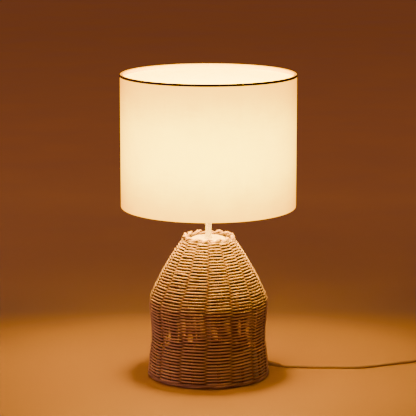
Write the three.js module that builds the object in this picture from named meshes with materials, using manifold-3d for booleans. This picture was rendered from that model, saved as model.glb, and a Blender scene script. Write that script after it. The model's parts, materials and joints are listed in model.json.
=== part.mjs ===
// Table lamp: a woven rattan base on a steel pan and threaded pipe, an E27 lampholder, and a drum shade.
// Millimetres, +Z up. The origin is on the table, on the lamp's own axis. The front faces -Y.

import * as THREE from 'three';
import { mergeVertices } from 'three/addons/utils/BufferGeometryUtils.js';
import Module from 'manifold-3d';

// ---------------------------------------------------------------- driving dimensions

const GAP = 0.3; // room between pieces that touch

// Base, from the table up
const PAD = { r: 106, height: 2 };
const PAN = { r: 100, flangeR: 107, top: 35, sheet: 1.5 };
const WEIGHT = { r: 65, height: 10 };
const FOOT_BORDER = { r: 112.6, rod: 4.2 }; // centre circle and half thickness
const RIM_BORDER = { r: 45.5, rod: 4.3, z: 266 };
const WALL_THICKNESS = 8;
// Outside of the woven wall as [radius, height], from the foot border to the rim border
const WALL_OUTSIDE = [
  [115.4, 9], [112.6, 45], [109.0, 82], [113.0, 136], [108.3, 161], [89.2, 201], [65.7, 241], [54.4, 258],
];

// Pipe, neck and stem
const PIPE = { r: 5, bore: 3.6, bottom: 24, top: 353 };
const BORE = PIPE.r + GAP; // hole of every piece that slides over the pipe
const NUT = { acrossCorners: 17, height: 6 };
const WASHER = { r: 10, height: 2 };
const NECK_PLATE = { r: 43, height: 2.2, top: 261.2 };
const NECK_CAP = { r: 33, sheet: 1.2, top: 266.1, edge: 2 };
const STEM_COLLAR = { r: 8.2, height: 2.4 };
const STEM = { r: 5.9, top: 345.7 };

// Lampholder (E27) and its bulb
const HOLDER = { r: 19.6, bore: 17, flangeR: 22.8, flange: 3.5, seam: 370, top: 402 };
const HOLDER_CAP = { r: 20, bottom: 346, sheet: 1.6 };
const BULB = { r: 30, z: 447, glass: 1.2, neck: 438, cap: 13.2 };

// Shade
const SHADE = { r: 165, bottom: 326.3, top: 578.6, fabric: 0.5, liner: 0.4 };
const WIRE = 1.5; // half thickness of the shade's two ring wires
const WIRE_R = SHADE.r - SHADE.fabric - 1.1 - WIRE;
const TRIM = { height: 4.8, thickness: 0.7, top: 579 };
const FITTER = { bore: 20.6, r: 27.4, height: 2 };
const COLLAR = { bore: 20, r: 26, topR: 24.4, height: 8, taper: 5.3 };
const ARM = 1.75; // half thickness of a spider arm
const ARM_COUNT = 3;

// Mains cord
const CORD = 2.5; // half thickness
const CORD_SIDES = 8;
const EXIT_TURN = THREE.MathUtils.degToRad(14); // from +X towards +Y
const EXIT_DIP = THREE.MathUtils.degToRad(16); // downwards
const EXIT_HEIGHT = 18; // of the exit's axis where it crosses the pan's skirt
const BOOT_LENGTH = 45;
const ON_FLOOR = 2.6; // height of the cord's middle where it lies on the table

// Inline switch, coil and plug, all on the cord
const SWITCH = { x: 453, y: 96.6, length: 62, width: 25, height: 17, cord: 6, wall: 1.6 };
const SWITCH_TURN = THREE.MathUtils.degToRad(20.8);
const ROCKER = {
  length: 20.2, width: 9.6, pivot: 13, tilt: THREE.MathUtils.degToRad(8),
  ends: 5.2, middle: 4.2, skirt: 1.2, bottom: -2.6, keel: 4, draft: 0.4,
};
const COIL = { x: 545, y: 83, inner: 17.9, outer: 38.8, bottom: 1.2, top: 11.5 };
const TIE = { width: 9, sheet: 0.9 };
const PLUG = { x: 453, y: 46.9, z: 7, length: 34, halfWidth: 13, height: 13.4, relief: 21.7 };
const PIN = { r: 2, length: 18.7, apart: 18.6 };

// Facets of round pieces
const FINE = 64;
const ROUND = 40;
const SMALL = 20;
const WIRE_SIDES = 6;

// ---------------------------------------------------------------- finishes

function finish(color, roughness, metalness = 0) {
  return new THREE.MeshStandardMaterial({ color, roughness, metalness });
}

const RATTAN = finish(0xb07a42, 0.6);
const RATTAN_DARK = finish(0x9a6836, 0.65);
const CREAM = finish(0xefe7d3, 0.4);
const STEEL = finish(0xa9a9a6, 0.4, 1);
const ZINC = finish(0xb8b4a6, 0.35, 1);
const BRASS = finish(0xc9a253, 0.35, 1);
const IRON = finish(0x4a4744, 0.75, 0.8);
const FELT = finish(0x2c2724, 0.95);
const LINEN = finish(0xf1e6cf, 0.85);
const LINER = finish(0xf6f0e2, 0.55);
const TRIM_TAPE = finish(0x3c2415, 0.7);
const WHITE_WIRE = finish(0xe7e2d6, 0.45, 0.2);
const WHITE_PLASTIC = finish(0xece8de, 0.4);
const PORCELAIN = finish(0xf3f0e8, 0.25);
const OPAL = finish(0xf8f1df, 0.3);
const BLACK_GLASS = finish(0x1a1a1c, 0.25);
const WHITE_PVC = finish(0xe6e0d2, 0.45);
const CLEAR_TIE = finish(0xd9d4c8, 0.6);

// ---------------------------------------------------------------- shapes

const wasm = await Module();
wasm.setup();

/** Leaves only positions, joins shared corners, drops empty triangles and turns every face outwards. */
function closed(geometry) {
  geometry.deleteAttribute('normal');
  geometry.deleteAttribute('uv');
  const merged = mergeVertices(geometry, 1e-4);
  const index = merged.index.array;
  const at = merged.attributes.position;
  const a = new THREE.Vector3();
  const b = new THREE.Vector3();
  const c = new THREE.Vector3();
  const kept = [];
  let volume = 0;
  for (let i = 0; i < index.length; i += 3) {
    const [p, q, r] = [index[i], index[i + 1], index[i + 2]];
    if (p === q || q === r || r === p) continue;
    kept.push(p, q, r);
    a.fromBufferAttribute(at, p);
    b.fromBufferAttribute(at, q);
    c.fromBufferAttribute(at, r);
    volume += a.dot(b.cross(c));
  }
  if (volume < 0) kept.reverse();
  merged.setIndex(kept);
  return merged;
}

/** A piece turned about Z from a closed outline of [radius, height] points. */
function turned(outline, facets = SMALL) {
  const onAxis = outline[0][0] === 0 && outline[outline.length - 1][0] === 0;
  const points = outline.map(([r, z]) => new THREE.Vector2(r, z));
  if (!onAxis) points.push(points[0].clone());
  return closed(new THREE.LatheGeometry(points, facets).rotateX(Math.PI / 2));
}

/** A flat ring or disc: bore, outer radius, and its lower and upper face. */
function ring(bore, r, bottom, top, facets = SMALL) {
  if (bore === 0) return turned([[0, bottom], [r, bottom], [r, top], [0, top]], facets);
  return turned([[bore, bottom], [r, bottom], [r, top], [bore, top]], facets);
}

/** A rod bent into a circle. */
function hoop(r, rod, z, facets, sides) {
  const outline = [];
  for (let i = 0; i < sides; i++) {
    const turn = ((i + 0.5) / sides) * 2 * Math.PI;
    outline.push([r + rod * Math.cos(turn), z + rod * Math.sin(turn)]);
  }
  return turned(outline, facets);
}

/** A round rod or cord along a smooth curve through the points, one step for each stride of its length. */
function rod(points, r, sides, stride) {
  const path = new THREE.CatmullRomCurve3(points, false, 'centripetal');
  const steps = Math.max(1, Math.round(path.getLength() / stride));
  const section = new THREE.Shape();
  for (let i = 0; i < sides; i++) {
    const turn = (i / sides) * 2 * Math.PI;
    if (i === 0) section.moveTo(r, 0);
    else section.lineTo(r * Math.cos(turn), r * Math.sin(turn));
  }
  return closed(new THREE.ExtrudeGeometry(section, { extrudePath: path, steps, bevelEnabled: false }));
}

/** A straight round bar between two points. */
function bar(from, to, r, sides) {
  const along = to.clone().sub(from);
  const geometry = new THREE.CylinderGeometry(r, r, along.length(), sides);
  geometry.applyQuaternion(new THREE.Quaternion().setFromUnitVectors(
    new THREE.Vector3(0, 1, 0), along.clone().normalize(),
  ));
  geometry.translate(...from.clone().add(to).multiplyScalar(0.5).toArray());
  return closed(geometry);
}

/** A block with round upright corners, its middle on the Z axis. */
function block(length, width, corner, bottom, top) {
  const [x, y] = [length / 2, width / 2];
  const outline = new THREE.Shape();
  outline.moveTo(x, y - corner);
  outline.absarc(x - corner, y - corner, corner, 0, Math.PI / 2);
  outline.absarc(corner - x, y - corner, corner, Math.PI / 2, Math.PI);
  outline.absarc(corner - x, corner - y, corner, Math.PI, 1.5 * Math.PI);
  outline.absarc(x - corner, corner - y, corner, 1.5 * Math.PI, 2 * Math.PI);
  const options = { depth: top - bottom, bevelEnabled: false, curveSegments: 4 };
  return closed(new THREE.ExtrudeGeometry(outline, options).translate(0, 0, bottom));
}

/** A hexagon nut on the pipe. */
function nut(bottom) {
  const outline = new THREE.Shape();
  for (let i = 0; i < 6; i++) {
    const turn = (i / 6) * 2 * Math.PI;
    const [x, y] = [Math.cos(turn) * NUT.acrossCorners / 2, Math.sin(turn) * NUT.acrossCorners / 2];
    if (i === 0) outline.moveTo(x, y);
    else outline.lineTo(x, y);
  }
  const hole = new THREE.Path();
  hole.absarc(0, 0, BORE, 0, 2 * Math.PI, true);
  outline.holes.push(hole);
  const options = { depth: NUT.height, bevelEnabled: false, curveSegments: 9 };
  return closed(new THREE.ExtrudeGeometry(outline, options).translate(0, 0, bottom));
}

function solid(geometry) {
  return new wasm.Manifold(new wasm.Mesh({
    numProp: 3,
    vertProperties: new Float32Array(geometry.attributes.position.array),
    triVerts: new Uint32Array(geometry.index.array),
  }));
}

function surface(body) {
  const mesh = body.getMesh();
  const geometry = new THREE.BufferGeometry();
  geometry.setAttribute('position', new THREE.BufferAttribute(mesh.vertProperties, 3));
  geometry.setIndex(new THREE.BufferAttribute(mesh.triVerts, 1));
  return geometry;
}

function cut(geometry, ...tools) {
  return surface(tools.reduce((body, tool) => body.subtract(solid(tool)), solid(geometry)));
}

function joined(geometry, ...others) {
  return surface(others.reduce((body, other) => body.add(solid(other)), solid(geometry)));
}

/** A point at a radius and height in the upright plane that the cord leaves through. */
function exitPlane(r, z) {
  return new THREE.Vector3(r * Math.cos(EXIT_TURN), r * Math.sin(EXIT_TURN), z);
}

/** A point on the exit's axis, so far outwards from the pan's skirt. */
function exitAxis(outwards) {
  return exitPlane(PAN.r + outwards * Math.cos(EXIT_DIP), EXIT_HEIGHT - outwards * Math.sin(EXIT_DIP));
}

// ---------------------------------------------------------------- the model

const lamp = new THREE.Group();

function add(name, geometry, material, parent = lamp) {
  const mesh = new THREE.Mesh(geometry, material.clone());
  mesh.name = name;
  parent.add(mesh);
  return mesh;
}

// Base: felt pad, steel pan, iron weight and the fixings on the pipe's lower end

const panUnder = PAN.top - PAN.sheet;
const panInside = PAN.r - PAN.sheet;
const flangeBottom = PAD.height + GAP;

add('base_felt', ring(0, PAD.r, 0, PAD.height, ROUND), FELT);

const panBody = turned([
  [BORE, PAN.top], [BORE, panUnder], [panInside, panUnder], [panInside, flangeBottom],
  [PAN.flangeR, flangeBottom], [PAN.flangeR, flangeBottom + PAN.sheet], [PAN.r, flangeBottom + PAN.sheet],
  [PAN.r, PAN.top],
], ROUND);
const BOOT_NECK = 5.6; // half thickness where it passes the pan's skirt
add('base_pan', cut(panBody, bar(exitAxis(-6), exitAxis(4), BOOT_NECK + GAP, SMALL)), STEEL);

const weightBottom = PAN.top + GAP;
add('base_weight', ring(BORE, WEIGHT.r, weightBottom, weightBottom + WEIGHT.height), IRON);

const washerTop = panUnder - GAP;
add('lower_washer', ring(BORE, WASHER.r, washerTop - WASHER.height, washerTop), ZINC);
add('lower_nut', nut(washerTop - WASHER.height - GAP - NUT.height), ZINC);
add('pipe', ring(PIPE.bore, PIPE.r, PIPE.bottom, PIPE.top), ZINC);
add('pipe_nut', nut(weightBottom + WEIGHT.height + GAP), ZINC);

// Basket: the woven wall, with a way out for the cord, and its two borders

const outside = new THREE.SplineCurve(WALL_OUTSIDE.map(([r, z]) => new THREE.Vector2(r, z)));
const WALL_RINGS = 10;
const wallOutline = [];
const wallInside = [];
for (let i = 0; i <= WALL_RINGS; i++) {
  const p = outside.getPoint(i / WALL_RINGS);
  const t = outside.getTangent(i / WALL_RINGS);
  wallOutline.push([p.x, p.y]);
  const atEnd = i === 0 || i === WALL_RINGS;
  wallInside.unshift([p.x - WALL_THICKNESS * t.y, atEnd ? p.y : p.y + WALL_THICKNESS * t.x]);
}
const WALL_HOLE = 6.8; // room around the strain relief
const wallBody = turned([...wallOutline, ...wallInside], ROUND);
add('basket_wall', cut(wallBody, bar(exitAxis(2), exitAxis(26), WALL_HOLE, 12)), RATTAN);

const footMiddle = FOOT_BORDER.rod * Math.cos(Math.PI / 8);
add('basket_foot_border', hoop(FOOT_BORDER.r, FOOT_BORDER.rod, footMiddle, ROUND, 8), RATTAN_DARK);
add('basket_rim_border', hoop(RIM_BORDER.r, RIM_BORDER.rod, RIM_BORDER.z, ROUND, 8), RATTAN);

// Neck and stem

const neckPlateBottom = NECK_PLATE.top - NECK_PLATE.height;
add('neck_plate', ring(BORE, NECK_PLATE.r, neckPlateBottom, NECK_PLATE.top), STEEL);
add('neck_nut', nut(neckPlateBottom - GAP - NUT.height), ZINC);

const capInside = NECK_CAP.r - NECK_CAP.sheet;
const capUnder = NECK_CAP.top - NECK_CAP.sheet;
add('neck_cap', turned([
  [BORE, NECK_CAP.top], [NECK_CAP.r - NECK_CAP.edge, NECK_CAP.top],
  [NECK_CAP.r, NECK_CAP.top - NECK_CAP.edge], [NECK_CAP.r, NECK_PLATE.top + GAP],
  [capInside, NECK_PLATE.top + GAP], [capInside, capUnder - 1], [capInside - 1, capUnder], [BORE, capUnder],
]), CREAM);

const collarBottom = NECK_CAP.top + GAP;
const collarTop = collarBottom + STEM_COLLAR.height;
add('stem_collar', ring(BORE, STEM_COLLAR.r, collarBottom, collarTop), CREAM);
add('stem', ring(BORE, STEM.r, collarTop + GAP, STEM.top), CREAM);

// Lampholder

const capTop = HOLDER.seam - GAP;
const inCap = HOLDER_CAP.r - HOLDER_CAP.sheet;
// From its foot up to its full radius
const bellOutside = [[12, HOLDER_CAP.bottom], [17.2, 351.5], [HOLDER_CAP.r, 360]];
const bellInside = [[inCap, 360.6], [15.9, 353], [11.4, HOLDER_CAP.bottom + HOLDER_CAP.sheet]];
add('holder_cap', turned([
  [BORE, HOLDER_CAP.bottom], ...bellOutside, [HOLDER_CAP.r, capTop],
  [inCap, capTop], ...bellInside, [BORE, HOLDER_CAP.bottom + HOLDER_CAP.sheet],
]), WHITE_PLASTIC);
const LOCKNUT = { r: 8, height: 2.5 };
const locknutBottom = HOLDER_CAP.bottom + HOLDER_CAP.sheet + GAP;
add('holder_locknut', ring(BORE, LOCKNUT.r, locknutBottom, locknutBottom + LOCKNUT.height), ZINC);

const BLOCK = { r: 15.5, bottom: 360.5, top: 370.6 };
add('terminal_block', ring(0, BLOCK.r, BLOCK.bottom, BLOCK.top), PORCELAIN);
const CENTRE_CONTACT = { r: 4.5, height: 2.4 };
const centreBottom = BLOCK.top + GAP;
add('centre_contact', ring(0, CENTRE_CONTACT.r, centreBottom, centreBottom + CENTRE_CONTACT.height), BRASS);
const SLEEVE = { bore: BULB.cap + 0.5, sheet: 0.6, bottom: BLOCK.top + 3.6, top: HOLDER.top - 4 };
add('screw_contact', ring(SLEEVE.bore, SLEEVE.bore + SLEEVE.sheet, SLEEVE.bottom, SLEEVE.top), BRASS);

const shoulder = HOLDER.seam + HOLDER.flange;
add('holder_shell', turned([
  [HOLDER.bore, HOLDER.seam], [HOLDER.flangeR, HOLDER.seam], [HOLDER.flangeR, shoulder], [HOLDER.r, shoulder],
  [HOLDER.r, HOLDER.top], [HOLDER.bore, HOLDER.top],
]), WHITE_PLASTIC);

// Bulb: tip, black glass, screw cap, plastic neck, light board and opal dome

const TIP = { bottom: 374, top: 376, flatR: 3.2, r: 4.6, edge: 0.4 };
add('bulb_tip', turned([
  [0, TIP.bottom], [TIP.flatR, TIP.bottom + TIP.edge], [TIP.r, TIP.top], [0, TIP.top],
]), BRASS);
const INSULATOR = { bottom: TIP.top + GAP, cone: 380, top: 380.7, footR: 5, r: 11.8 };
add('bulb_insulator', turned([
  [0, INSULATOR.bottom], [INSULATOR.footR, INSULATOR.bottom], [INSULATOR.r, INSULATOR.cone],
  [INSULATOR.r, INSULATOR.top], [0, INSULATOR.top],
]), BLACK_GLASS);

const THREADS = 4;
const THREAD_PITCH = 3.6;
const THREAD_DEPTH = 0.8;
const bulbCapBottom = INSULATOR.top + GAP;
const bulbCapTop = HOLDER.top;
const bulbCapBore = 12;
const bulbCapNeck = BULB.cap - THREAD_DEPTH / 2;
const bulbCapOutline = [[bulbCapBore, bulbCapTop], [bulbCapBore, bulbCapBottom]];
for (let i = 0; i < THREADS; i++) {
  bulbCapOutline.push([BULB.cap - THREAD_DEPTH, bulbCapBottom + i * THREAD_PITCH]);
  bulbCapOutline.push([BULB.cap, bulbCapBottom + (i + 0.5) * THREAD_PITCH]);
}
bulbCapOutline.push([bulbCapNeck, bulbCapBottom + THREADS * THREAD_PITCH], [bulbCapNeck, bulbCapTop]);
add('bulb_cap', turned(bulbCapOutline), ZINC);

const BOARD = { r: 24.2, bottom: 433.3, thickness: 1.6 };
// Widens from the screw cap to the dome
const flare = [[15, 408], [22.5, 422], [27.6, 434], [28.6, BULB.neck]];
const seat = [[26.4, BULB.neck], [25, BOARD.bottom - GAP]]; // the rim's inner side, down to the board
add('bulb_neck', turned([
  [0, bulbCapTop + GAP], [BULB.cap, bulbCapTop + GAP], ...flare, ...seat, [0, BOARD.bottom - GAP],
]), WHITE_PLASTIC);
add('bulb_light_board', ring(0, BOARD.r, BOARD.bottom, BOARD.bottom + BOARD.thickness), PORCELAIN);

const dome = [];
const DOME_RINGS = 5;
const domeFoot = BULB.neck + GAP;
for (const r of [BULB.r, BULB.r - BULB.glass]) {
  const lowest = Math.asin((domeFoot - BULB.z) / r);
  const arc = [];
  for (let i = 0; i <= DOME_RINGS; i++) {
    const rise = lowest + (Math.PI / 2 - lowest) * (i / DOME_RINGS);
    arc.push([i === DOME_RINGS ? 0 : r * Math.cos(rise), BULB.z + r * Math.sin(rise)]);
  }
  if (r === BULB.r) dome.push(...arc.reverse());
  else dome.push(...arc);
}
add('bulb_dome', turned(dome), OPAL);

// Shade: fabric, liner, trim, two wire rings, and a three-armed spider on the lampholder's shoulder

const shadeIn = SHADE.r - SHADE.fabric;
const linerOut = shadeIn - GAP;
const WIRE_INSET = 0.2; // the wires lie this far inside the fabric's edges
const topWire = SHADE.top - WIRE - WIRE_INSET;
const bottomWire = SHADE.bottom + WIRE + WIRE_INSET;
const linerEnd = 4; // the liner stops short of the fabric's folded edges
add('shade_fabric', ring(shadeIn, SHADE.r, SHADE.bottom, SHADE.top, FINE), LINEN);
const linerIn = linerOut - SHADE.liner;
add('shade_liner', ring(linerIn, linerOut, SHADE.bottom + linerEnd, SHADE.top - linerEnd, FINE), LINER);
const trimIn = SHADE.r + GAP;
add('shade_trim', ring(trimIn, trimIn + TRIM.thickness, TRIM.top - TRIM.height, TRIM.top, FINE), TRIM_TAPE);
add('shade_top_wire', hoop(WIRE_R, WIRE, topWire, ROUND, WIRE_SIDES), WHITE_WIRE);
add('shade_bottom_wire', hoop(WIRE_R, WIRE, bottomWire, ROUND, WIRE_SIDES), WHITE_WIRE);

const fitterBottom = shoulder + GAP;
const fitterTop = fitterBottom + FITTER.height;
add('shade_fitter', ring(FITTER.bore, FITTER.r, fitterBottom, fitterTop), WHITE_WIRE);
const shadeCollarBottom = fitterTop + GAP;
const shadeCollarTop = shadeCollarBottom + COLLAR.height;
add('shade_collar', turned([
  [COLLAR.bore, shadeCollarBottom], [COLLAR.r, shadeCollarBottom], [COLLAR.r, shadeCollarTop - COLLAR.taper],
  [COLLAR.topR, shadeCollarTop], [COLLAR.bore, shadeCollarTop],
]), WHITE_PLASTIC);

const armIn = FITTER.r + GAP;
const armOut = WIRE_R - WIRE - GAP;
const armHigh = (fitterBottom + fitterTop) / 2;
// [radius, height]
const armBends = [[38, armHigh], [48, armHigh - 3], [125, bottomWire + 5], [137, bottomWire + 0.6]];
const armRoute = [[armIn, armHigh], ...armBends, [armOut, bottomWire]];
for (let i = 0; i < ARM_COUNT; i++) {
  const turn = Math.PI / 2 + (i / ARM_COUNT) * 2 * Math.PI;
  const points = armRoute.map(([r, z]) => new THREE.Vector3(r * Math.cos(turn), r * Math.sin(turn), z));
  add(`spider_arm_${i + 1}`, rod(points, ARM, WIRE_SIDES, 7), WHITE_WIRE);
}

// Cord: its strain relief, the length inside the lamp, and the lead on the table

// Behind the skirt, and the neck through its hole
const bootHead = [[0, -7], [8, -7], [8, -4.9], [BOOT_NECK, -4.9]];
const bootCollar = [[BOOT_NECK, 2.8], [6.7, 2.8], [6.7, 3.8], [4.8, 4.4]]; // against the skirt's outside
const bootEnd = [[3.5, BOOT_LENGTH], [0, BOOT_LENGTH]];
const bootGeometry = turned([...bootHead, ...bootCollar, ...bootEnd]);
const boot = add('cord_boot', bootGeometry, WHITE_PVC);
boot.position.copy(exitAxis(0));
boot.quaternion.setFromUnitVectors(new THREE.Vector3(0, 0, 1), exitAxis(1).sub(exitAxis(0)).normalize());

const PIPE_MIDDLE = 60; // a height inside the pipe, where the bent and the straight part of the cord join
const insideRoute = [
  exitAxis(-7.3), exitPlane(83, 21.8), exitPlane(68, 20), exitPlane(50, 14), exitPlane(35, 9.6),
  exitPlane(22, 8.2), exitPlane(12, 10.2), exitPlane(5, 15.2), exitPlane(1.1, 21.6), exitPlane(0, 29),
  exitPlane(0, 40), exitPlane(0, PIPE_MIDDLE),
];
const JOIN_OVERLAP = 4;
const CORD_END = BLOCK.bottom - 2;
const insideUpper = bar(exitPlane(0, PIPE_MIDDLE - JOIN_OVERLAP), exitPlane(0, CORD_END), CORD, CORD_SIDES);
add('cord_inside', joined(rod(insideRoute, CORD, CORD_SIDES, 6), insideUpper), WHITE_PVC);

function route(points) {
  return points.map(([x, y, z]) => new THREE.Vector3(x, y, z));
}

const LEAD_STRIDE = 12;
const leadRoute = [exitAxis(BOOT_LENGTH + GAP), exitAxis(BOOT_LENGTH + 3), ...route([
  [151, 37.2, 3.2], [161, 38, ON_FLOOR], [178, 37, ON_FLOOR], [198, 35.6, ON_FLOOR], [217, 34.6, ON_FLOOR],
  [237, 34.1, ON_FLOOR], [256, 33.6, ON_FLOOR], [274, 32.8, ON_FLOOR], [290, 33.4, ON_FLOOR],
  [307, 37.4, ON_FLOOR], [326, 44.8, ON_FLOOR], [350, 55.6, ON_FLOOR], [375, 66.4, ON_FLOOR],
  [393, 73.6, ON_FLOOR], [403, 77.5, 2.8], [412, 81, 4.8], [419.5, 83.9, SWITCH.cord],
  [423.7, 85.5, SWITCH.cord],
])];
add('cord_lead', rod(leadRoute, CORD, CORD_SIDES, LEAD_STRIDE), WHITE_PVC);
add('cord_link', rod(route([
  [482.3, 107.7, SWITCH.cord], [486.5, 109.3, SWITCH.cord], [495, 112.3, 4.6], [508, 115.8, 3.8],
  [522.4, 118.1, 3.8],
]), CORD, CORD_SIDES, LEAD_STRIDE), WHITE_PVC);
add('cord_tail', rod(route([
  [524.4, 46.9, 8.3], [517, 46.9, 7.2], [513, 46.9, PLUG.z], [509.4, 46.9, PLUG.z],
]), CORD, CORD_SIDES, LEAD_STRIDE / 2), WHITE_PVC);

// Coil of the spare length, and the tie around it

const COIL_EDGE = 2.2;
const coil = new THREE.Group();
coil.position.set(COIL.x, COIL.y, 0);
lamp.add(coil);
add('cord_coil', turned([
  [COIL.inner + COIL_EDGE, COIL.bottom], [COIL.outer - COIL_EDGE, COIL.bottom],
  [COIL.outer, COIL.bottom + COIL_EDGE], [COIL.outer, COIL.top - COIL_EDGE],
  [COIL.outer - COIL_EDGE, COIL.top], [COIL.inner + COIL_EDGE, COIL.top],
  [COIL.inner, COIL.top - COIL_EDGE], [COIL.inner, COIL.bottom + COIL_EDGE],
], ROUND), WHITE_PVC, coil);

function uprightBox(xLow, xHigh, zLow, zHigh, width) {
  return closed(new THREE.BoxGeometry(xHigh - xLow, width, zHigh - zLow)
    .translate((xLow + xHigh) / 2, 0, (zLow + zHigh) / 2));
}
const tieSlack = 1; // the coil curves away behind the tie's flat inner side
const tieIn = [COIL.inner - tieSlack, COIL.outer + GAP, COIL.bottom - GAP, COIL.top + GAP];
const tieOut = [tieIn[0] - TIE.sheet, tieIn[1] + TIE.sheet, tieIn[2] - TIE.sheet, tieIn[3] + TIE.sheet];
add('coil_tie', cut(uprightBox(...tieOut, TIE.width), uprightBox(...tieIn, TIE.width + 2)), CLEAR_TIE, coil);

// Inline switch

const switchBox = new THREE.Group();
switchBox.position.set(SWITCH.x, SWITCH.y, 0);
switchBox.rotation.z = SWITCH_TURN;
lamp.add(switchBox);
const seam = 8;
const CORNER = 7;
const UNDER = 0.2; // the box stands this high above the table
const TERMINAL = { length: 9, width: 6, corner: 1, top: 7.5, out: 18 };
const innerLength = SWITCH.length - 2 * SWITCH.wall;
const innerWidth = SWITCH.width - 2 * SWITCH.wall;
const innerCorner = CORNER - SWITCH.wall;
add('switch_base', cut(
  block(SWITCH.length, SWITCH.width, CORNER, UNDER, seam),
  block(innerLength, innerWidth, innerCorner, UNDER + SWITCH.wall, seam + 2),
), WHITE_PLASTIC, switchBox);
const WINDOW = { length: ROCKER.length + 2.2, width: ROCKER.width + 0.8 };
add('switch_cover', cut(
  block(SWITCH.length, SWITCH.width, CORNER, seam + GAP, SWITCH.height),
  block(innerLength, innerWidth, innerCorner, seam - 2, SWITCH.height - SWITCH.wall),
  block(WINDOW.length, WINDOW.width, 1, seam, SWITCH.height + 2),
), WHITE_PLASTIC, switchBox);
for (const [i, side] of [-1, 1].entries()) {
  const onBase = UNDER + SWITCH.wall + GAP;
  const terminal = block(TERMINAL.length, TERMINAL.width, TERMINAL.corner, onBase, TERMINAL.top);
  add(`switch_terminal_${i + 1}`, terminal.translate(side * TERMINAL.out, 0, 0), BRASS, switchBox);
}

const rockerEnd = ROCKER.length / 2;
const rockerSide = new THREE.Shape(); // dished on top, narrow below, with the pivot's axis at its origin
rockerSide.moveTo(-rockerEnd, ROCKER.ends);
rockerSide.lineTo(0, ROCKER.middle);
rockerSide.lineTo(rockerEnd, ROCKER.ends);
rockerSide.lineTo(rockerEnd - ROCKER.draft, ROCKER.skirt);
rockerSide.lineTo(ROCKER.keel, ROCKER.bottom);
rockerSide.lineTo(-ROCKER.keel, ROCKER.bottom);
rockerSide.lineTo(ROCKER.draft - rockerEnd, ROCKER.skirt);
const rockerOptions = { depth: ROCKER.width, bevelEnabled: false };
const rockerGeometry = closed(new THREE.ExtrudeGeometry(rockerSide, rockerOptions)
  .rotateX(Math.PI / 2).translate(0, ROCKER.width / 2, 0));
const rocker = add('switch_rocker', rockerGeometry, WHITE_PLASTIC, switchBox);
rocker.position.z = ROCKER.pivot;
rocker.rotation.y = ROCKER.tilt;

// Two-pin plug, lying flat with its pins towards -X

const plug = new THREE.Group();
plug.position.set(PLUG.x, PLUG.y, 0);
lamp.add(plug);
const EDGE = 1.2;
const WAIST = { from: 9, bend: 20, bendHalf: 10, endHalf: 5.5 }; // the body narrows towards its cord
const plugOutline = new THREE.Shape();
plugOutline.moveTo(EDGE, -PLUG.halfWidth + EDGE);
plugOutline.lineTo(WAIST.from, -PLUG.halfWidth + EDGE);
plugOutline.quadraticCurveTo(WAIST.bend, -WAIST.bendHalf, PLUG.length - EDGE, -WAIST.endHalf);
plugOutline.lineTo(PLUG.length - EDGE, WAIST.endHalf);
plugOutline.quadraticCurveTo(WAIST.bend, WAIST.bendHalf, WAIST.from, PLUG.halfWidth - EDGE);
plugOutline.lineTo(EDGE, PLUG.halfWidth - EDGE);
const plugGeometry = new THREE.ExtrudeGeometry(plugOutline, {
  depth: PLUG.height - 2 * EDGE, bevelThickness: EDGE, bevelSize: EDGE, bevelSegments: 2, curveSegments: 5,
});
add('plug_body', closed(plugGeometry.translate(0, 0, PLUG.z - PLUG.height / 2 + EDGE)), WHITE_PLASTIC, plug);
const reliefFrom = new THREE.Vector3(PLUG.length + GAP, 0, PLUG.z);
const RELIEF = { r: 5, endR: 3.3 };
const reliefOutline = [[0, 0], [RELIEF.r, 0], [RELIEF.endR, PLUG.relief], [0, PLUG.relief]];
const relief = turned(reliefOutline).rotateY(Math.PI / 2);
add('plug_relief', relief.translate(...reliefFrom.toArray()), WHITE_PVC, plug);
for (const [i, side] of [-1, 1].entries()) {
  const from = new THREE.Vector3(-GAP, (side * PIN.apart) / 2, PLUG.z);
  const to = new THREE.Vector3(-GAP - PIN.length, (side * PIN.apart) / 2, PLUG.z);
  add(`plug_pin_${i + 1}`, bar(from, to, PIN.r, 16), ZINC, plug);
}

export default lamp;
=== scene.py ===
"""Looks of the table lamp: a woven rattan base, a glowing linen drum shade, and its lead, switch and plug."""

import json
import math

import bpy
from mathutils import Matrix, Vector
import numpy as np

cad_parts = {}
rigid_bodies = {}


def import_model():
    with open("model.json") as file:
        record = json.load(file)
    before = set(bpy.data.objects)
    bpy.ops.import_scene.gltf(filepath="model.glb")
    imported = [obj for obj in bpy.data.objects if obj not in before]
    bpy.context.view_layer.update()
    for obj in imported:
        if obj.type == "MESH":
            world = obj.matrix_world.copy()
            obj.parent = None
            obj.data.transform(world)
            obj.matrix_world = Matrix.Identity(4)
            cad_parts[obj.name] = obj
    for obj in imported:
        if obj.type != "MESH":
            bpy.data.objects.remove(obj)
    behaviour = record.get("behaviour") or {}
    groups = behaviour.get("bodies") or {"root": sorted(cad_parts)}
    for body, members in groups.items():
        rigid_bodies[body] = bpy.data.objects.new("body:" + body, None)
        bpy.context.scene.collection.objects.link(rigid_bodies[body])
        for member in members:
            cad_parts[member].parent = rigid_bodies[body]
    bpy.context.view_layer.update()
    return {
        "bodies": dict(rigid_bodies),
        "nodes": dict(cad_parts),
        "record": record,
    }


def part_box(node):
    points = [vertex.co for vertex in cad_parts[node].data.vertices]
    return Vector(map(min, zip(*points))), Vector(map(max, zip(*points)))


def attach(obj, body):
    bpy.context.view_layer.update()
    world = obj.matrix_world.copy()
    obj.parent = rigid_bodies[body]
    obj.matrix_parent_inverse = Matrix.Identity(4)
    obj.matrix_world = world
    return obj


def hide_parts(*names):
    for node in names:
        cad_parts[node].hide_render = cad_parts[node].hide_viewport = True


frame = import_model()
nodes = frame["nodes"]

MM = 0.001
TURN = 2 * math.pi


# ------------------------------------------------------------------ camera

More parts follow.
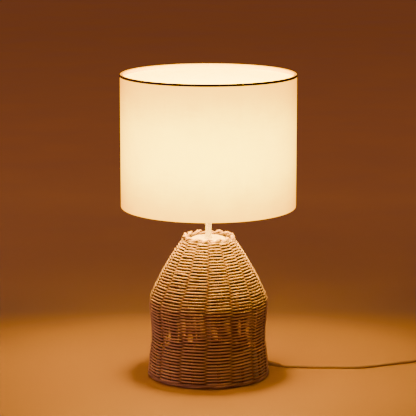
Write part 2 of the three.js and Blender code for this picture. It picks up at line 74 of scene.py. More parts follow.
CAMERA_AT = (-0.0008, -3.6, 1.013)
CAMERA_DIP = math.radians(10.85)
camera_data = bpy.data.cameras.new("camera")
camera_data.sensor_width = 36
camera_data.lens = 167.9
camera_data.clip_start = 0.1
camera_data.clip_end = 60
camera = bpy.data.objects.new("camera", camera_data)
camera.location = CAMERA_AT
camera.rotation_euler = (math.pi / 2 - CAMERA_DIP, 0, 0)
bpy.context.scene.collection.objects.link(camera)
bpy.context.scene.camera = camera


# ------------------------------------------------------------------ mesh tools


def unit(v):
    return v / np.maximum(np.linalg.norm(v, axis=-1, keepdims=True), 1e-12)


def smooth_step(x, low=0.0, high=1.0):
    t = np.clip((np.asarray(x, float) - low) / (high - low), 0, 1)
    return t * t * (3 - 2 * t)


def spline(points, steps):
    """A Catmull-Rom curve through the points, with that many steps in each span."""
    p = np.asarray(points, float)
    p = np.vstack([2 * p[0] - p[1], p, 2 * p[-1] - p[-2]])
    t = np.linspace(0, 1, steps, endpoint=False)[:, None]
    spans = []
    for a, b, c, d in zip(p[:-3], p[1:-2], p[2:-1], p[3:]):
        spans.append(
            0.5
            * (
                2 * b
                + (c - a) * t
                + (2 * a - 5 * b + 4 * c - d) * t**2
                + (3 * b - a - 3 * c + d) * t**3
            )
        )
    return np.vstack([*spans, p[-2]])


def around(radius, turn, height):
    """Points at those radii, angles and heights about the lamp's upright axis."""
    radius, turn, height = np.broadcast_arrays(radius, turn, height)
    return np.stack([radius * np.cos(turn), radius * np.sin(turn), height], -1)


def lengths(path):
    """The length of the path up to each of its points."""
    steps = np.linalg.norm(np.diff(path, axis=0), axis=1)
    return np.concatenate([[0], np.cumsum(steps)])


def sweep(path, radius, reference, sides, closed=False, painted_lit=1.0):
    """Points, quads and end faces of a rod along a path, with each point's place along and across the rod.
    The last argument is 1 where the rod stands proud and 0 where it is deepest; made lighter on one side of
    the rod, mostly its outward side, it becomes the fourth value of that place, a mask for painted shade."""
    path = np.asarray(path, float)
    n = len(path)
    if closed:
        tangent = unit(np.roll(path, -1, 0) - np.roll(path, 1, 0))
    else:
        tangent = unit(np.gradient(path, axis=0))
    reference = np.broadcast_to(np.asarray(reference, float), path.shape)
    side = unit(reference - (reference * tangent).sum(1, keepdims=True) * tangent)
    up = np.cross(tangent, side)
    angle = np.arange(sides) / sides * TURN
    radius = np.broadcast_to(np.asarray(radius, float), (n,))
    across = np.stack([np.cos(angle), np.sin(angle)], 1)[None] * radius[:, None, None]
    points = path[:, None] + across[..., :1] * side[:, None] + across[..., 1:] * up[:, None]
    rows = np.arange(n if closed else n - 1)
    a, j = np.meshgrid(rows, np.arange(sides), indexing="ij")
    b, k = (a + 1) % n, (j + 1) % sides
    quads = np.stack([a * sides + j, a * sides + k, b * sides + k, b * sides + j], -1).reshape(-1, 4)
    caps = [] if closed else [list(range(sides))[::-1], [(n - 1) * sides + i for i in range(sides)]]
    along = np.broadcast_to(lengths(path)[:, None, None], (n, sides, 1))
    # painted shade: the side of the rod away from the reference direction is made darker
    painted_lit_side = 0.5 + 0.5 * np.cos(angle)[None, :, None]
    painted_lit_mask = np.broadcast_to(np.asarray(painted_lit, float), (n,))[:, None, None] * (0.6 + 0.4 * painted_lit_side)
    fibre = np.concatenate([along, across, painted_lit_mask], -1)
    return points.reshape(-1, 3), quads, caps, fibre.reshape(-1, 4)


def hoop(radius, height, thick, points, sides):
    """A closed ring of round rod."""
    out = around(1.0, np.linspace(0, TURN, points, endpoint=False), 0.0)
    return sweep(out * radius + [0, 0, height], thick, out, sides, closed=True)


GRAIN_APART = 3.7


def merged(parts):
    """Several sweeps as one. Their fibre places are kept apart so that no two rods share their grain."""
    points, quads, caps, fibres, count = [], [], [], [], 0
    for i, (p, q, c, f) in enumerate(parts):
        points.append(p)
        quads.append(q + count)
        caps += [[v + count for v in cap] for cap in c]
        fibres.append(f + [i * GRAIN_APART, 0, 0, 0])
        count += len(p)
    return np.vstack(points), np.vstack(quads), caps, np.vstack(fibres)


def piece(name, shape, material, body, replaces):
    """A mesh object of (points, quads, other faces, field), which rides on a body.
    The field's first three values place the grain; a fourth, if there is one, is a mask for painted shade on
    a rod, low where it lies deep and on its shaded side."""
    points, quads, caps, field = shape
    mesh = bpy.data.meshes.new(name)
    mesh.from_pydata(points.tolist(), [], quads.tolist() + caps)
    mesh.polygons.foreach_set("use_smooth", [True] * len(mesh.polygons))
    grain = mesh.attributes.new("grain", "FLOAT_VECTOR", "POINT")
    grain.data.foreach_set("vector", np.ascontiguousarray(field[:, :3], np.float32).ravel())
    if field.shape[1] > 3:
        painted_lit_mask = mesh.attributes.new("painted_lit", "FLOAT", "POINT")
        painted_lit_mask.data.foreach_set("value", np.ascontiguousarray(field[:, 3], np.float32))
    mesh.materials.append(material)
    mesh.update()
    obj = bpy.data.objects.new(name, mesh)
    bpy.context.scene.collection.objects.link(obj)
    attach(obj, body)
    if replaces:
        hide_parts(*replaces)
    return obj


def lathe(profile, segments, start=0.0, end=TURN, lift=None):
    """A closed outline of [radius, height] turned about Z. lift adds to the radius by angle."""
    profile = np.asarray(profile, float)
    full = abs(end - start - TURN) < 1e-9 and lift is None
    angle = np.linspace(start, end, segments + (0 if full else 1), endpoint=not full)
    n, m = len(angle), len(profile)
    r = profile[None, :, 0] + (0 if lift is None else lift(angle)[:, None])
    z = np.broadcast_to(profile[None, :, 1], (n, m))
    points = around(r, angle[:, None], z)
    rows = np.arange(n if full else n - 1)
    a, j = np.meshgrid(rows, np.arange(m), indexing="ij")
    b, k = (a + 1) % n, (j + 1) % m
    quads = np.stack([a * m + j, b * m + j, b * m + k, a * m + k], -1).reshape(-1, 4)
    caps = [] if full else [list(range(m)), [(n - 1) * m + i for i in range(m)][::-1]]
    widest = profile[:, 0].max()
    arc = np.broadcast_to((angle * widest)[:, None], (n, m))
    field = np.stack([arc, z, np.broadcast_to(r - widest, (n, m))], -1)
    return points.reshape(-1, 3), quads, caps, field.reshape(-1, 3)


# ------------------------------------------------------------------ cord

EXIT_TURN = math.radians(14)
EXIT_DIP = math.radians(16)
EXIT_RADIUS = 100 * MM
EXIT_HEIGHT = 18 * MM
CORD_DIAMETER = 5 * MM
BOOT_LENGTH = 45 * MM
IN_BOOT = 0.4 * MM  # the cord starts this far inside the boot's end
STRAIGHT = 3 * MM  # and runs straight for this long beyond it


def exit_axis(along):
    """The point that far out along the strain relief's own axis."""
    radius = EXIT_RADIUS + along * math.cos(EXIT_DIP)
    return around(radius, EXIT_TURN, EXIT_HEIGHT - along * math.sin(EXIT_DIP))


SWITCH_CENTRE = np.array([453, 96.6, 6]) * MM
LEAD = np.array([
    [151, 37.2, 3.2], [161, 38, 2.6], [178, 37, 2.6], [198, 35.6, 2.6], [217, 34.6, 2.6],
    [237, 34.1, 2.6], [256, 33.6, 2.6], [274, 32.8, 2.6], [290, 33.4, 2.6], [307, 37.4, 2.6],
    [326, 44.8, 2.6], [350, 55.6, 2.6], [375, 66.4, 2.6], [393, 73.6, 2.6], [403, 77.5, 2.8],
    [412, 81, 4.8], [419.5, 83.9, 6], [423.7, 85.5, 6],
]) * MM
LINK = np.array([
    [482.3, 107.7, 6], [486.5, 109.3, 6], [495, 112.3, 4.6], [508, 115.8, 3.8], [522.4, 118.1, 3.8],
]) * MM
TAIL = np.array([[524.4, 46.9, 8.3], [517, 46.9, 7.2], [513, 46.9, 7], [509.4, 46.9, 7]]) * MM
COIL_CENTRE = np.array([545, 83]) * MM
COIL_OUTER, COIL_STEP = 36.3 * MM, 5.1 * MM
COIL_LAYERS = 3.8 * MM, 8.85 * MM  # heights of the cord's middle
COIL_BELOW, COIL_ABOVE = 4, 3.5  # turns
COIL_POINTS = 40  # in each turn
CLIMB = 0.1  # half the share of a turn over which it climbs to the upper layer


def coil():
    """Down the outer ring to the inner one on the table, then back out on top of it, clockwise from above."""
    turns = np.arange(0, COIL_BELOW + COIL_ABOVE + 1e-9, 1 / COIL_POINTS)
    ring = np.floor(turns) + smooth_step(turns % 1)
    below = np.minimum(ring, COIL_BELOW - 1)
    above = np.clip(ring - COIL_BELOW, 0, COIL_BELOW - 1)
    r = COIL_OUTER - COIL_STEP * np.where(turns < COIL_BELOW, below, COIL_BELOW - 1 - above)
    z = np.interp(smooth_step(turns, COIL_BELOW - CLIMB, COIL_BELOW + CLIMB), [0, 1], COIL_LAYERS)
    return around(r, math.pi / 2 - turns * TURN, z) + [*COIL_CENTRE, 0]


out_of_boot = [exit_axis(BOOT_LENGTH - IN_BOOT), exit_axis(BOOT_LENGTH + STRAIGHT)]
cord_path = spline(np.vstack([*out_of_boot, LEAD, SWITCH_CENTRE, LINK, coil(), TAIL]), 5)


# ------------------------------------------------------------------ materials


class Tree:
    """Short ways to add nodes to a material."""

    def __init__(self, name):
        self.material = bpy.data.materials.new(name)
        self.material.use_nodes = True
        self.nodes = self.material.node_tree.nodes
        self.links = self.material.node_tree.links
        self.shader = self.nodes["Principled BSDF"]

    def link(self, source, target):
        self.links.new(source, target)

    def node(self, kind, inputs=None, **settings):
        node = self.nodes.new("ShaderNode" + kind)
        for key, value in settings.items():
            setattr(node, key, value)
        for key, value in (inputs or {}).items():
            if isinstance(value, bpy.types.NodeSocket):
                self.link(value, node.inputs[key])
            else:
                node.inputs[key].default_value = value
        return node

    def math(self, operation, a, b=0.0):
        return self.node("Math", {0: a, 1: b}, operation=operation).outputs[0]

    def place(self):
        return self.node("TexCoord").outputs["Object"]

    def grain(self):
        return self.node("Attribute", attribute_name="grain").outputs["Vector"]

    def scaled(self, vector, scale):
        return self.node("Mapping", {"Vector": vector, "Scale": scale}).outputs[0]

    def noise(self, vector, scale, detail, roughness=0.55):
        inputs = {"Vector": vector, "Scale": scale, "Detail": detail, "Roughness": roughness}
        return self.node("TexNoise", inputs).outputs["Fac"]

    def ramp(self, value, stops):
        """A colour that runs through stops of (place, colour)."""
        ramp = self.node("ValToRGB", {"Fac": value})
        band = ramp.color_ramp
        while len(band.elements) < len(stops):
            band.elements.new(0.5)
        for element, (at, colour) in zip(band.elements, stops):
            element.position = at
            element.color = (*colour, 1)
        return ramp.outputs["Color"]

    def range(self, value, low, high, start=0.0, end=1.0):
        inputs = {"Value": value, "From Min": start, "From Max": end, "To Min": low, "To Max": high}
        return self.node("MapRange", inputs).outputs["Result"]

    def mix(self, factor, a, b, blend="MIX"):
        node = self.node("Mix", data_type="RGBA", blend_type=blend)
        for socket, value in ((0, factor), (6, a), (7, b)):
            if isinstance(value, bpy.types.NodeSocket):
                self.link(value, node.inputs[socket])
            else:
                node.inputs[socket].default_value = value
        return node.outputs[2]

    def bump(self, height, distance):
        return self.node("Bump", {"Height": height, "Distance": distance}).outputs["Normal"]

    def finish(self, colour, roughness, normal, **sockets):
        """The material, with those three links and any other sockets set to plain values."""
        for socket, value in (("Base Color", colour), ("Roughness", roughness), ("Normal", normal)):
            self.link(value, self.shader.inputs[socket])
        for key, value in sockets.items():
            self.shader.inputs[key.replace("_", " ")].default_value = value
        return self.material


def painted(name, dark, light, patch, rough, fine, relief, **sockets):
    """A plain finish with faint patches, handling marks in its gloss and a fine relief, which is in mm."""
    t = Tree(name)
    patches = t.noise(t.place(), patch, 4)
    marks = t.noise(t.place(), patch * 3.1, 5, 0.7)
    relief_height = t.noise(t.place(), fine, 2)
    return t.finish(
        t.ramp(patches, [(0.3, dark), (0.7, light)]),
        t.range(marks, rough[0], rough[1], 0.3, 0.7),
        t.bump(relief_height, relief * MM),
        **sockets,
    )


def rattan(name, deep, middle, pale):
    """Peeled rattan: long fibres, darker knots and streaks, a dry skin, and painted shade on the rods where
    they lie deep and on their shaded side.
    """
    t = Tree(name)
    fibre = t.grain()
    streak = t.noise(t.scaled(fibre, (30, 1100, 1100)), 1.0, 4, 0.6)
    blotch = t.noise(t.scaled(fibre, (9, 0, 0)), 1.0, 3, 0.6)
    batch = t.noise(t.scaled(fibre, (1.3, 0, 0)), 1.0, 1, 0.5)
    tone = t.math("ADD", t.math("MULTIPLY", streak, 0.45), t.math("MULTIPLY", blotch, 0.4))
    tone = t.math("ADD", tone, t.math("MULTIPLY", batch, 0.25))
    colour = t.ramp(tone, [(0.34, deep), (0.52, middle), (0.72, pale)])
    knots = t.noise(t.scaled(fibre, (14, 60, 60)), 1.0, 2, 0.4)
    colour = t.mix(t.range(knots, 0.0, 0.45, 0.66, 0.78), colour, (*deep, 1))
    # painted shade: the colour is multiplied down to about a seventh where a rod lies deep or turns its
    # shaded side out
    painted_lit_mask = t.node("Attribute", attribute_name="painted_lit").outputs["Fac"]
    painted_recess_shade = t.ramp(painted_lit_mask, [(0.08, (0.14, 0.11, 0.09)), (0.5, (0.48, 0.43, 0.38)), (0.9, (1.0, 1.0, 1.0))])
    colour = t.mix(1.0, colour, painted_recess_shade, "MULTIPLY")
    ridges = t.noise(t.scaled(fibre, (60, 2600, 2600)), 1.0, 2, 0.5)
    gloss = t.range(streak, 0.42, 0.68, 0.3, 0.7)
    return t.finish(colour, gloss, t.bump(ridges, 0.16 * MM), Specular_IOR_Level=0.4)


RATTAN = rattan("rattan_skin", (0.29, 0.19, 0.13), (0.56, 0.405, 0.27), (0.82, 0.66, 0.42))
RATTAN_FOOT = rattan("rattan_foot", (0.17, 0.105, 0.075), (0.30, 0.205, 0.15), (0.43, 0.31, 0.23))
CREAM = painted("cream_powder_coat", (0.80, 0.76, 0.68), (0.86, 0.82, 0.74), 60, (0.35, 0.5), 1600, 0.02)


# ------------------------------------------------------------------ woven base

WALL_OUTSIDE = np.array([
    [115.4, 9], [112.6, 45], [109.0, 82], [113.0, 136], [108.3, 161], [89.2, 201], [65.7, 241], [54.4, 258],
    [50.3, 264.5],
]) * MM  # radius and height, from the foot up
COLUMNS = 14
COLUMN = TURN / COLUMNS
FRONT = -math.pi / 2
WEAVER = 1.5 * MM  # half thickness, as all the rods' sizes are
STAKE = 1.45 * MM
STAKE_PAIR = 1.65 * MM  # half the distance between the two stakes of a pair
SWING = 3.15 * MM  # how far a weaver passes outside and inside the stakes' own surface
ROW = 2.95 * MM
FIRST_ROW_SINKS = -3 * MM  # the first turn starts this deep behind the foot rods
ROWS = 92.5
ROW_RISE = 1 * MM  # all the rows are this much higher than a whole number of them
seeded = np.random.default_rng(41)

wall_curve = spline(WALL_OUTSIDE, 60)
wall_length = lengths(wall_curve)
wall_tangent = unit(np.gradient(wall_curve, axis=0))


def wall_at(s, inset):
    """Radius, height and outward normal at length s up the wall's outline, that deep under its outside."""
    r, z = (np.interp(s, wall_length, wall_curve[:, i]) for i in (0, 1))
    z = z + np.minimum(s, 0)
    up_r, up_z = (np.interp(s, wall_length, wall_tangent[:, i]) for i in (0, 1))
    return r - inset * up_z, z + inset * up_r, up_z, -up_r


DRIFT_AT = np.array([0, 40, 75, 120, 150, 185, 300]) * MM  # lengths up the wall, and the columns' drift there
DRIFT = np.radians([-2.4, -3.0, -0.9, -3.4, -2.6, 0.0, 0.0])


def drift(s):
    """How far the columns lean away from straight up, which a hand-woven wall does."""
    return np.interp(s, DRIFT_AT, DRIFT)


HOLE_WIDTH = 13 * MM
HOLE_TOP = 15.5 * MM  # above the foot border
HOLE_REACH = 38 * MM  # rows below this are pushed up over the strain relief


def around_hole(theta, s, r):
    """Rows near the strain relief arch over it, closer together."""
    away = (np.mod(theta - EXIT_TURN + math.pi, TURN) - math.pi) * r
    share = np.exp(-((away / HOLE_WIDTH) ** 4))
    pushed = HOLE_TOP + s * (HOLE_REACH - HOLE_TOP) / HOLE_REACH
    return np.where(s < HOLE_REACH, s + share * (pushed - s), s)


WEAVER_POINTS = 10  # in each column
GATHERED = 0.6  # how strongly those points gather where the weaver passes between two pairs of stakes
CROSSING = 0.3  # the smaller, the more sharply it passes there from outside to inside
SAG = 0.7 * MM  # it lies this much lower where it passes inside
LOOSE = 0.3 * MM  # how unevenly it lies up and down
UNEVEN_SWING = 0.09  # and in and out, as a share of its swing
SWAYS = ((0.7 * MM, 2, 18, 1.3), (0.45 * MM, 5, -31, 0))  # of all rows: size, waves round, rate up, shift
EVEN_FOOT, EVEN_TOP = 40 * MM, 20 * MM  # rows lie true at the foot and rim, and turn uneven over these
THICKENINGS = ((0.05, 0.83, 1), (0.035, 2.17, 2))  # share of the thickness, rate along the weaver, shift


def weaver(phase, first_row):
    """One long rod wound up the wall, outside one pair of stakes and inside the next."""
    columns = int((ROWS - first_row) / 2 * COLUMNS)
    x = np.arange(columns * WEAVER_POINTS + 1) / WEAVER_POINTS
    place = np.floor(x) + x % 1 - GATHERED / TURN * np.sin(TURN * (x % 1))
    column = np.minimum(np.floor(x).astype(int), columns - 1)
    s = np.maximum((first_row + 2 * place / COLUMNS) * ROW + ROW_RISE, FIRST_ROW_SINKS)
    theta = FRONT + place * COLUMN + drift(s)
    wave = np.sin(math.pi * place + phase * math.pi)
    middle = wave**2
    wave = wave * math.sqrt(1 + CROSSING**2) / np.sqrt(middle + CROSSING**2)
    uneven = seeded.normal(0, LOOSE, columns)[column] * middle - SAG * np.clip(-wave, 0, 1)
    swing = SWING * wave * (1 + seeded.normal(0, UNEVEN_SWING, columns)[column] * middle)
    for size, waves, rate, shift in SWAYS:
        uneven = uneven + size * np.sin(waves * theta + rate * s + shift)
    uneven *= smooth_step(s, 0, EVEN_FOOT) * smooth_step(wall_length[-1] - s, 0, EVEN_TOP)
    s = around_hole(theta, s + uneven, wall_at(s, 0)[0])
    r, z, out_r, out_z = wall_at(s, SWING + WEAVER)
    path = around(r + swing * out_r, theta, z + swing * out_z)
    swell = sum(size * np.sin(place * rate + phase * shift) for size, rate, shift in THICKENINGS)
    # painted shade: the weaver is darker where it passes inside the stakes
    return sweep(path, WEAVER * (1 + swell), around(out_r, theta, out_z), 8, painted_lit=0.5 + 0.5 * wave)


BORDER = np.array([45.5, 266]) * MM  # middle of the rolled rim: radius and height
RIM_CORE = 1.5 * MM  # half thickness of the hoop inside it
BORDER_ROD = 1.95 * MM
BORDER_WIND = 2.9 * MM
BORDER_COLUMNS = 1.45  # how far each stake's end runs round the rim
KNOT, KNOT_SPREAD = 0.55, 0.75  # how far a stake stands up where it crosses the top of the rim
WIND_FROM, WIND_TO = math.radians(-80), math.radians(225)
STAKE_FROM, STAKE_STOPS = -6 * MM, 1 * MM  # it starts below the wall's foot and bends short of its top
STAKE_TIP = 0.9 * MM
OVER_FROM, OVER_POWER = 0.12, 1.9  # the rim part starts this far along its wind, and leans over ever faster


def stake(column, side):
    """A stake up the wall, whose end is bent over sideways and laid round the rim."""
    s = np.linspace(STAKE_FROM, wall_length[-1] - STAKE_STOPS, 70)
    r, z = wall_at(s, SWING + WEAVER)[:2]
    theta = FRONT + (column + 0.5) * COLUMN + drift(s) + side * STAKE_PAIR / r
    up = around(r, theta, z)
    q = np.linspace(OVER_FROM, 1, 44)
    wind = WIND_FROM + (WIND_TO - WIND_FROM) * q + seeded.normal(0, 0.10)
    turn = theta[-1] + q**OVER_POWER * (BORDER_COLUMNS + seeded.normal(0, 0.08)) * COLUMN
    knot = np.exp(-(((wind - math.pi / 2) / KNOT_SPREAD) ** 2))
    reach = BORDER_WIND * (1 + seeded.normal(0, 0.05) + KNOT * knot)
    over = around(BORDER[0] + reach * np.cos(wind), turn, BORDER[1] + reach * np.sin(wind))
    path = np.vstack([up, over])
    joint = len(up)
    rounded = spline(np.vstack([up[-8::4], over[1:6:2]]), 4)
    path[joint - 4 : joint + 3] = rounded[3:10]
    stations = [0, joint, len(path) - 6, len(path) - 1]
    thick = np.interp(np.arange(len(path)), stations, [STAKE, STAKE, BORDER_ROD, STAKE_TIP])
    thick[joint:] *= 1 + 0.25 * knot
    sideways = np.stack([-np.sin(theta), np.cos(theta), 0 * theta], 1)
    # painted shade: the upright part, mostly behind the weavers, is kept dark, and the rim part is lighter on
    # its top
    painted_lit_mask = np.concatenate([np.full(joint, 0.25), 0.7 + 0.3 * np.sin(wind)])
    return sweep(path, thick, np.vstack([sideways, around(1.0, turn, 0.4)]), 8, painted_lit=painted_lit_mask)


FOOT = np.array([112.6, 4.7]) * MM  # middle of the twisted foot: radius and height
FOOT_WIND, FOOT_ROD, FOOT_RODS, FOOT_TWISTS = 2.1 * MM, 2.15 * MM, 3, 5
FOOT_WOBBLE = 0.35 * MM


def foot_rod(index):
    """One of the rods twisted together round the foot."""
    theta = np.linspace(0, TURN, 336, endpoint=False)
    wind = FOOT_TWISTS * theta + index / FOOT_RODS * TURN
    wobble = FOOT_WOBBLE * (1 + np.sin(3 * theta + 0.7) * np.sin(7 * theta))
    path = around(FOOT[0] + FOOT_WIND * np.cos(wind), theta, FOOT[1] + FOOT_WIND * np.sin(wind) + wobble)
    # painted shade: each foot rod is darker where its twist turns inwards
    return sweep(path, FOOT_ROD, around(1.0, theta, 0.0), 10, closed=True, painted_lit=0.75 + 0.25 * np.cos(wind))


piece("weaver_a", weaver(0, -2), RATTAN, "lamp", ["basket_wall"])
piece("weaver_b", weaver(1, -1), RATTAN, "lamp", ())
stakes = [stake(column, side) for column in range(COLUMNS) for side in (-1, 1)]
piece("stakes_and_rim", merged(stakes), RATTAN, "lamp", ["basket_rim_border"])
foot = merged([foot_rod(i) for i in range(FOOT_RODS)])
piece("foot_rods", foot, RATTAN_FOOT, "lamp", ["basket_foot_border"])
piece("rim_core", hoop(BORDER[0], BORDER[1], RIM_CORE, 128, 8), RATTAN, "lamp", ())


# ------------------------------------------------------------------ shade

SHADE_R = 165 * MM
CLOTH = 0.5 * MM
LINING = 163.8 * MM, 164.2 * MM  # its inner and outer radius
LINING_HEIGHTS = 330.3 * MM, 574.6 * MM
WIRE_R, WIRE = 161.9 * MM, 1.5 * MM
WIRE_HEIGHTS = {"bottom": 328.0 * MM, "top": 576.9 * MM}
HEM = 5.5 * MM
HEM_LEAN = 0.15 * MM
FOLD_R, FOLD_HALF, FOLD_RISE = 162.35 * MM, 2.4 * MM, 1.65 * MM  # the cloth's turn round each wire
FOLD_IN = 0.2 * MM  # its middle lies this much nearer the shade's middle than the wire's does
SEAM = math.pi / 2  # at the back
LAP = math.radians(4.2)
LAP_LIFT = 0.62 * MM
LAP_RISES = math.radians(1.3), math.radians(0.15)  # it starts and stops rising this far before the seam
BULB_HEIGHT = 447 * MM  # middle of the bulb
NECK_SHADES = BULB_HEIGHT - 60 * MM, BULB_HEIGHT + 30 * MM  # fully below the first, not above the second


def cloth_outline():
    """The section of the cloth: up the outside, over the top wire, and back inside as a hem at both ends."""
    down = np.linspace(math.pi, TURN, 13)
    over = np.linspace(0, math.pi, 13)
    low, high = WIRE_HEIGHTS["bottom"] + FOLD_IN, WIRE_HEIGHTS["top"] - FOLD_IN
    inner = FOLD_R - FOLD_HALF
    bottom = np.stack([FOLD_R + FOLD_HALF * np.cos(down), low + FOLD_RISE * np.sin(down)], 1)
    top = np.stack([FOLD_R + FOLD_HALF * np.cos(over), high + FOLD_RISE * np.sin(over)], 1)
    side = np.stack([np.full(18, bottom[-1, 0]), np.linspace(low, high, 20)[1:-1]], 1)
    hem_low = [[inner + HEM_LEAN, low + HEM], [inner, low + HEM * 0.4]]
    hem_high = [[inner, high - HEM * 0.4], [inner + HEM_LEAN, high - HEM]]
    middle = np.vstack([hem_low, bottom, side, top, hem_high])
    along = unit(np.gradient(middle, axis=0))
    normal = np.stack([along[:, 1], -along[:, 0]], 1)
    outline = np.vstack([middle + normal * CLOTH / 2, (middle - normal * CLOTH / 2)[::-1]])
    return outline, float(lengths(middle)[-1])


def lap(angle):
    """The cloth's outer end lies on its inner end in a lapped seam."""
    return LAP_LIFT * smooth_step(angle - SEAM, TURN - LAP_RISES[0], TURN - LAP_RISES[1])


def glowing(name, colours, glow, strength, thread, slub, weave, rough, below=1.0, **sockets):
    """Woven cloth lit from behind: brightest level with the bulb, its threads and slubs showing in the light.
    below is how bright it is under the bulb, whose neck shades that part, as a share of how it is above."""
    t = Tree(name)
    grain = t.grain()
    x, y, _ = (t.node("SeparateXYZ", {0: grain}).outputs[i] for i in range(3))
    warp = t.math("SINE", t.math("MULTIPLY", x, TURN / thread))
    weft = t.math("SINE", t.math("MULTIPLY", y, TURN / thread))
    threads = t.math("MULTIPLY", warp, weft)
    across = t.noise(t.scaled(grain, (18, 1500, 1)), 1.0, 2, 0.6)
    upright = t.noise(t.scaled(grain, (1500, 14, 1)), 1.0, 2, 0.6)
    slubs = t.math("ADD", across, upright)
    cloud = t.noise(t.scaled(grain, (22, 22, 1)), 1.0, 3, 0.6)
    z = t.node("SeparateXYZ", {0: t.place()}).outputs[2]
    level = t.math("DIVIDE", t.math("SUBTRACT", z, BULB_HEIGHT), SHADE_R)
    fall = t.math("POWER", t.math("ADD", t.math("MULTIPLY", level, level), 1.0), -1.5)
    light = t.math("MULTIPLY", fall, t.range(slubs, 1 - slub, 1 + slub, 0.6, 1.4))
    light = t.math("MULTIPLY", light, t.range(threads, 1 - weave, 1 + weave, -1.0, 1.0))
    light = t.math("MULTIPLY", light, t.range(cloud, 0.96, 1.04, 0.3, 0.7))
    t.link(t.ramp(light, glow), t.shader.inputs["Emission Color"])
    if below < 1:
        power = t.range(z, below * strength, strength, *NECK_SHADES)
        t.link(power, t.shader.inputs["Emission Strength"])
    height = t.math("ADD", t.math("MULTIPLY", threads, 0.5), slubs)
    colour = t.ramp(slubs, [(0.35, colours[0]), (0.65, colours[1])])
    return t.finish(
        colour,
        t.range(cloud, rough[0], rough[1], 0.3, 0.7),
        t.bump(height, 0.12 * MM),
        Emission_Strength=strength,
        Specular_IOR_Level=0.25,
        **sockets,
    )


LINEN = glowing(
    "shade_linen",
    colours=((0.80, 0.70, 0.42), (0.88, 0.80, 0.50)),
    glow=[
        (0.45, (0.60, 0.29, 0.0)),
        (0.64, (0.72, 0.42, 0.0)),
        (0.86, (0.97, 0.68, 0.001)),
        (1.0, (1.14, 0.84, 0.001)),
    ],
    strength=11.0,
    thread=0.62 * MM,
    slub=0.14,
    weave=0.12,
    rough=(0.75, 0.9),
    # painted shade: the tinted coat darkens and yellows the glow where the cloth is seen at a slant, towards
    # the shade's sides
    Coat_Weight=1.0,
    Coat_IOR=1.05,
    Coat_Roughness=0.8,
    Coat_Tint=(0.77, 0.68, 0.34, 1),
)
LINING_FILM = glowing(
    "shade_lining_film",
    colours=((0.78, 0.74, 0.66), (0.84, 0.80, 0.72)),
    glow=[(0.45, (0.50, 0.27, 0.0)), (0.64, (0.66, 0.38, 0.0)), (1.0, (0.90, 0.56, 0.001))],
    strength=14.0,
    thread=0.9 * MM,
    slub=0.06,
    weave=0.04,
    rough=(0.5, 0.65),
    below=0.2,
)
TAPE = painted("dark_tape", (0.070, 0.026, 0.012), (0.105, 0.040, 0.020), 90, (0.6, 0.8), 1500, 0.08)
WHITE_WIRE = painted("white_wire_coat", (0.74, 0.71, 0.64), (0.82, 0.79, 0.72), 80, (0.35, 0.5), 1400, 0.02)

cloth_section, cloth_width = cloth_outline()
cloth_shape = lathe(cloth_section, 248, SEAM, SEAM + TURN + LAP, lap)
shade_cloth = piece("shade_cloth", cloth_shape, LINEN, "shade", ["shade_fabric"])
foot_of_lining, top_of_lining = ([[r, z] for r in LINING] for z in LINING_HEIGHTS)
lining_section = [*foot_of_lining, *top_of_lining[::-1]]
piece("shade_lining", lathe(lining_section, 192), LINING_FILM, "shade", ["shade_liner"])


def rounded_band(inner, outer, low, high, corner):
    """The outline of a flat band with rounded outer corners."""
    turns = np.linspace(0, math.pi / 2, 4)
    lower = [[outer - corner + corner * math.sin(a), low + corner - corner * math.cos(a)] for a in turns]
    upper = [[outer - corner + corner * math.cos(a), high - corner + corner * math.sin(a)] for a in turns]
    return [[inner, low], *lower, *upper, [inner, high]]


TAPE_R = 165.2 * MM, 166.0 * MM
TAPE_HEIGHTS = 574.2 * MM, 578.95 * MM
tape_section = rounded_band(*TAPE_R, *TAPE_HEIGHTS, corner=0.3 * MM)
piece("shade_tape", lathe(tape_section, 248), TAPE, "shade", ["shade_trim"])
for end, height in WIRE_HEIGHTS.items():
    ring = hoop(WIRE_R, height, WIRE, 160, 10)
    piece(f"shade_ring_{end}", ring, WHITE_WIRE, "shade", [f"shade_{end}_wire"])


# ------------------------------------------------------------------ the lead

LEAD_PVC = painted("lead_pvc", (0.32, 0.25, 0.175), (0.40, 0.32, 0.23), 25, (0.16, 0.28), 700, 0.03)
lead = bpy.data.curves.new("mains_lead", "CURVE")
lead.dimensions = "3D"
lead.bevel_depth = CORD_DIAMETER / 2
lead.bevel_resolution = 4
run = lead.splines.new("POLY")
run.points.add(len(cord_path) - 1)
run.points.foreach_set("co", np.column_stack([cord_path, np.ones(len(cord_path))]).ravel())
lead.use_fill_caps = True
lead.materials.append(LEAD_PVC)
mains_lead = bpy.data.objects.new("mains_lead", lead)
bpy.context.scene.collection.objects.link(mains_lead)
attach(mains_lead, "lamp")
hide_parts("cord_lead", "cord_link", "cord_tail", "cord_coil")
tuple(exit_axis(BOOT_LENGTH))


# ------------------------------------------------------------------ stem, lampholder, bulb and spider

SAME_PLACE = 0.01 * MM
SAME_TURN = 0.01  # radians
EASE_OVER = math.radians(25)  # corners that turn by more than this are rounded
AXIS_R = 0.05 * MM  # nearer the axis than this, they are not


